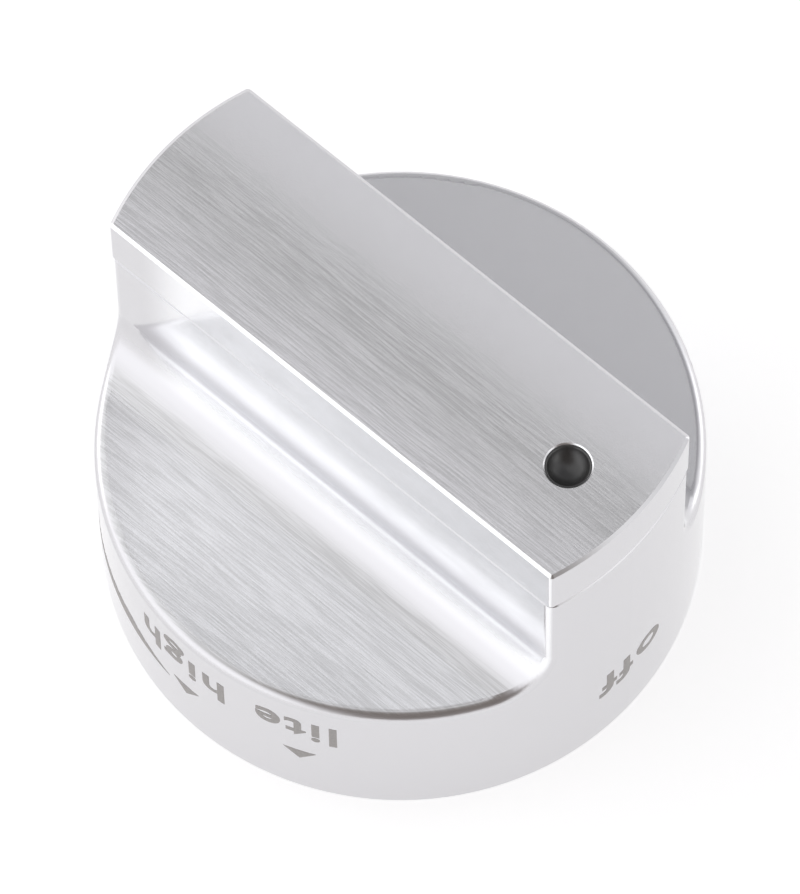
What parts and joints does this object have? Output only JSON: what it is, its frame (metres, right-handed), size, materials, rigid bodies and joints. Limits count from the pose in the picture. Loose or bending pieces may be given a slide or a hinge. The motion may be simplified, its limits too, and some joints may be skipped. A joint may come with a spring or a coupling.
{
  "type": "stove knob",
  "caption": "Round-skirted cooker control knob with a tall grip bar across its full diameter, a pointer dimple at one end and a D-shaped stem socket underneath.",
  "frame": {"origin": "centre of the base rim, on the plane that faces the control panel", "axes": "+Z along the turning axis, out of the control panel; +X along the grip bar towards its pointer dimple"},
  "size_m": [0.051, 0.051, 0.0374],
  "materials": {
    "satin_shell": "satin walls, disc face brushed along the grip",
    "brushed_cap": "top brushed lengthwise, satin sides",
    "black_moulding": "fine moulded texture",
    "spring_steel": "bright rolled strip",
    "plated_screw": "zinc plated"
  },
  "bodies": {
    "root": {"knob_body": "satin_shell", "grip_cap": "brushed_cap", "stem_hub": "black_moulding", "spring_clip": "spring_steel", "hub_screws": "plated_screw"}
  },
  "joints": []
}
